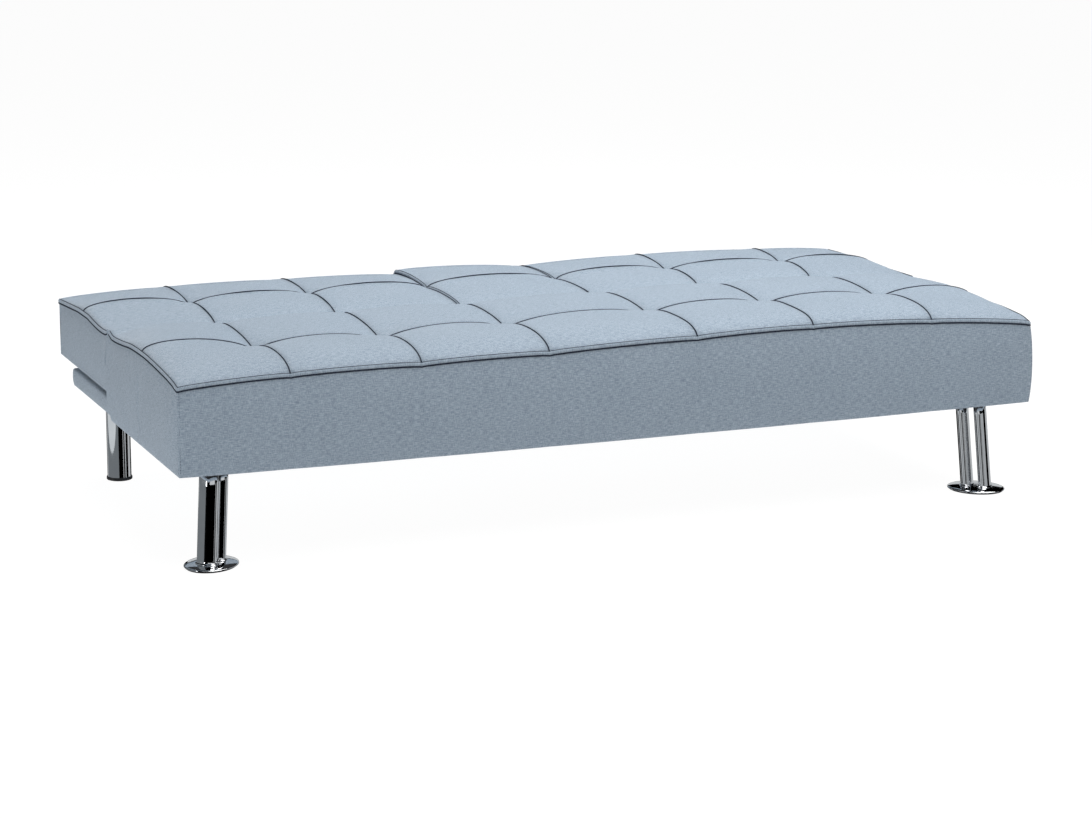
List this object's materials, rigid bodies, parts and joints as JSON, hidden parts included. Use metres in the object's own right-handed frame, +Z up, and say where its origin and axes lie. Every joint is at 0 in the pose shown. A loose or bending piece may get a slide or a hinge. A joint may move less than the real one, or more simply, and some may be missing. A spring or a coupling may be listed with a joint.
{
  "type": "click-clack sofa bed",
  "caption": "Armless fabric click-clack sofa bed shown flat, with a split reclining back, a fold-down centre console with cup wells and chrome legs.",
  "frame": {"origin": "on the floor, in the middle of the footprint", "axes": "+X along the sofa to the right, +Z up, the seat's front faces -Y"},
  "size_m": [1.8, 0.94, 0.39],
  "materials": {
    "woven_cover": "matte",
    "foam": "matte",
    "black_lining": "matte",
    "plywood": "matte",
    "chrome": "polished",
    "felt_pad": "matte",
    "black_plastic": "matte",
    "tray_plastic": "satin",
    "painted_steel": "satin",
    "white_plastic": "satin",
    "zinc_steel": "satin"
  },
  "bodies": {
    "base": {"base_frame": "painted_steel", "seat_springs": "zinc_steel", "spring_clips": "white_plastic", "seat_foam": "foam", "seat_cover": "woven_cover", "dust_cover": "black_lining", "ledge_board": "plywood", "ledge_cover": "woven_cover", "front_leg_plate_left": "painted_steel", "front_leg_tubes_left": "chrome", "front_foot_left": "chrome", "front_leg_plate_right": "painted_steel", "front_leg_tubes_right": "chrome", "front_foot_right": "chrome", "front_foot_pads": "felt_pad", "rear_leg_plate_left": "painted_steel", "rear_leg_tube_left": "chrome", "rear_leg_cap_left": "black_plastic", "rear_leg_plate_right": "painted_steel", "rear_leg_tube_right": "chrome", "rear_leg_cap_right": "black_plastic", "base_bolts": "zinc_steel", "hinge_plate_1": "zinc_steel", "hinge_plate_2": "zinc_steel", "hinge_plate_3": "zinc_steel", "hinge_plate_4": "zinc_steel"},
    "left_back": {"left_back_frame": "painted_steel", "left_back_foam": "foam", "left_back_cover": "woven_cover", "left_back_panel": "black_lining", "hinge_arm_1": "zinc_steel", "hinge_arm_2": "zinc_steel", "left_hinge_pins": "zinc_steel", "left_arm_bolts": "zinc_steel", "left_pawl_springs": "zinc_steel"},
    "right_back": {"right_back_frame": "painted_steel", "right_back_foam": "foam", "right_back_cover": "woven_cover", "right_back_panel": "black_lining", "hinge_arm_3": "zinc_steel", "hinge_arm_4": "zinc_steel", "right_hinge_pins": "zinc_steel", "right_arm_bolts": "zinc_steel", "right_pawl_springs": "zinc_steel", "console_rails": "painted_steel", "rail_screws": "zinc_steel", "console_backboard": "plywood", "console_bracket_left": "zinc_steel", "console_bracket_right": "zinc_steel"},
    "console": {"console_box": "plywood", "console_lid_board": "plywood", "console_foam": "foam", "console_cover": "woven_cover", "console_tray": "tray_plastic", "console_ears": "zinc_steel", "console_pins": "zinc_steel"},
    "pawl_1": {"hinge_pawl_1": "zinc_steel"},
    "pawl_2": {"hinge_pawl_2": "zinc_steel"},
    "pawl_3": {"hinge_pawl_3": "zinc_steel"},
    "pawl_4": {"hinge_pawl_4": "zinc_steel"}
  },
  "joints": [
    {"name": "left_back_recline", "type": "hinge", "parent": "base", "child": "left_back", "pos_m": [0, 0.045, 0.37], "axis": [1, 0, 0], "range_deg": [0, 80]},
    {"name": "right_back_recline", "type": "hinge", "parent": "base", "child": "right_back", "pos_m": [0, 0.045, 0.37], "axis": [1, 0, 0], "range_deg": [0, 80]},
    {"name": "console_fold", "type": "hinge", "parent": "right_back", "child": "console", "pos_m": [0, 0.115, 0.35], "axis": [1, 0, 0], "range_deg": [0, 100]},
    {"name": "pawl_1_swing", "type": "hinge", "parent": "left_back", "child": "pawl_1", "pos_m": [0, 0.03309, 0.32557], "axis": [1, 0, 0], "range_deg": [0, 6], "stiffness_Nm_per_rad": 0.05, "springref_deg": -11.46},
    {"name": "pawl_2_swing", "type": "hinge", "parent": "left_back", "child": "pawl_2", "pos_m": [0, 0.03309, 0.32557], "axis": [1, 0, 0], "range_deg": [0, 6], "stiffness_Nm_per_rad": 0.05, "springref_deg": -11.46},
    {"name": "pawl_3_swing", "type": "hinge", "parent": "right_back", "child": "pawl_3", "pos_m": [0, 0.03309, 0.32557], "axis": [1, 0, 0], "range_deg": [0, 6], "stiffness_Nm_per_rad": 0.05, "springref_deg": -11.46},
    {"name": "pawl_4_swing", "type": "hinge", "parent": "right_back", "child": "pawl_4", "pos_m": [0, 0.03309, 0.32557], "axis": [1, 0, 0], "range_deg": [0, 6], "stiffness_Nm_per_rad": 0.05, "springref_deg": -11.46}
  ]
}
